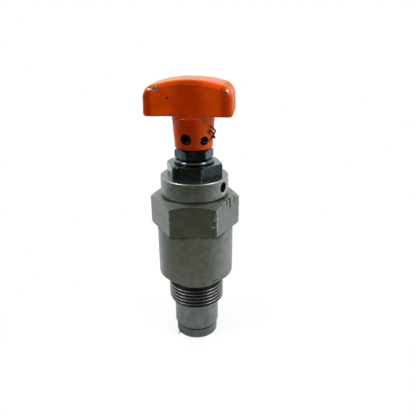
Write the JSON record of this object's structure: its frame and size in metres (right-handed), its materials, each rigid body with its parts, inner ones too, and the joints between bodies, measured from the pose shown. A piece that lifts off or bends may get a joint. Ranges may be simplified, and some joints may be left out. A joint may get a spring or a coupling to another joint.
{
  "type": "hydraulic relief valve",
  "caption": "Screw-in hydraulic relief valve: hexagon body on a threaded nose, spring-loaded poppet inside, and a T-handle with a lock nut that sets the pressure.",
  "frame": {"origin": "centre of the pressure inlet's mouth, in the nose's end face that the valve stands on", "axes": "+Z along the valve's axis from the nose to the knob; -Y is the side that the picture shows"},
  "size_m": [0.0465, 0.0406, 0.141],
  "materials": {
    "body_steel": "turned and milled steel with a thin dark phosphate film",
    "nose_steel": "turned steel, satin",
    "cap_steel": "turned steel, satin",
    "black_oxide": "blackened steel, oiled",
    "nut_black": "blackened steel, oiled",
    "ring_black": "blackened steel, polished round edge",
    "screw_black": "blackened steel",
    "wire_steel": "soft steel wire, tarnished dark",
    "inner_steel": "turned steel",
    "ground_steel": "hardened and ground steel",
    "spring_steel": "oil-tempered spring steel",
    "bush_bronze": "bronze, bored and reamed",
    "seal_rubber": "nitrile rubber, slightly oily",
    "backup_plastic": "plain white fluoropolymer",
    "knob_paint": "glossy orange paint on a cast handle, chipped to grey metal"
  },
  "bodies": {
    "valve_body": {"body_shell": "body_steel", "seat_insert": "nose_steel", "nose_seal": "seal_rubber", "shoulder_o_ring": "seal_rubber", "guide_bush": "bush_bronze", "cap_sleeve": "cap_steel", "cap_o_ring": "seal_rubber", "bonnet": "black_oxide", "bonnet_seal": "seal_rubber"},
    "poppet_body": {"poppet": "ground_steel", "spring_seat": "inner_steel", "seat_clip": "spring_steel", "main_spring": "spring_steel"},
    "piston": {"spring_shim": "inner_steel", "spring_plate": "inner_steel", "plate_o_ring": "seal_rubber", "backup_ring": "backup_plastic", "thrust_ball": "ground_steel"},
    "adjuster": {"spindle": "inner_steel", "stop_ring": "spring_steel", "knob": "knob_paint", "set_screws": "screw_black", "lock_wire": "wire_steel"},
    "nut_seal": {"seal_ring": "ring_black"},
    "nut": {"lock_nut": "nut_black"}
  },
  "joints": [
    {"name": "adjuster_lift", "type": "slide", "parent": "valve_body", "child": "piston", "axis": [0, 0, 1], "range_m": [0, 0.006], "deforming": ["main_spring"]},
    {"name": "knob_turn", "type": "hinge", "parent": "piston", "child": "adjuster", "pos_m": [0, 0, 0.1077], "axis": [0, 0, 1], "range_deg": [0, 1440]},
    {"name": "nut_lift", "type": "slide", "parent": "valve_body", "child": "nut_seal", "axis": [0, 0, 1], "range_m": [0, 0.000375]},
    {"name": "nut_turn", "type": "hinge", "parent": "nut_seal", "child": "nut", "pos_m": [0, 0, 0.1045], "axis": [0, 0, 1], "range_deg": [0, 90]},
    {"name": "poppet_lift", "type": "slide", "parent": "valve_body", "child": "poppet_body", "axis": [0, 0, 1], "range_m": [0, 0.0015], "stiffness_N_per_m": 2000, "springref_m": -0.001, "deforming": ["main_spring"]}
  ],
  "couplings": [
    {"joint": "adjuster_lift", "follows": "knob_turn", "m_per_rad": 0.00023873},
    {"joint": "nut_lift", "follows": "nut_turn", "m_per_rad": 0.00023873}
  ]
}
